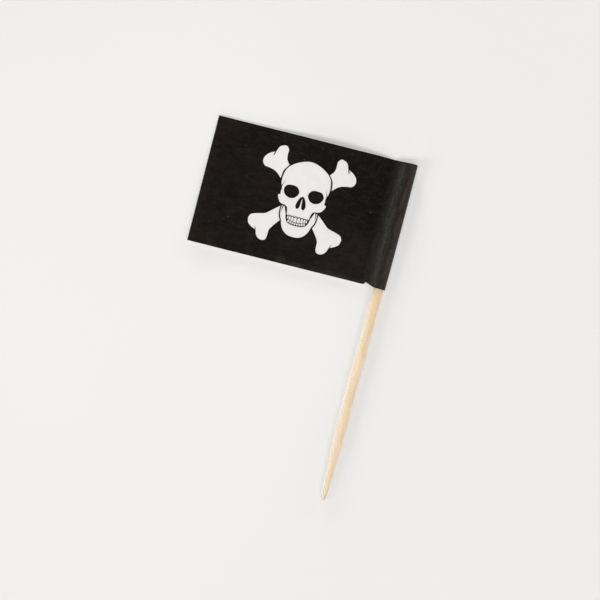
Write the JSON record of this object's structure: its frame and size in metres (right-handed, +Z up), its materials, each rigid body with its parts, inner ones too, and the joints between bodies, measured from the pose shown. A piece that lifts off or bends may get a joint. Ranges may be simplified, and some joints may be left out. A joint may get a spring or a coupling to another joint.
{
  "type": "flag pick",
  "caption": "Round wooden cocktail pick with a small folded paper flag glued round its blunt end, printed black with a plain skull and crossed bones.",
  "frame": {"origin": "centre of the bounding box's underside, on the table that the pick lies on", "axes": "+Y along the pick from its point to the flag's top edge, +X from the flag's free edge to its fold at the pick, +Z up from the table through the flag's front face"},
  "size_m": [0.04, 0.0678, 0.0024],
  "materials": {
    "wood": "matte",
    "white_paper": "matte",
    "dry_glue": "satin",
    "black_ink": "satin"
  },
  "bodies": {
    "root": {"pick": "wood", "flag_sheet": "white_paper", "flag_glue": "dry_glue", "black_print": "black_ink", "front_left_eye_print": "black_ink", "front_right_eye_print": "black_ink", "front_nose_print": "black_ink", "back_left_eye_print": "black_ink", "back_right_eye_print": "black_ink", "back_nose_print": "black_ink"}
  },
  "joints": []
}
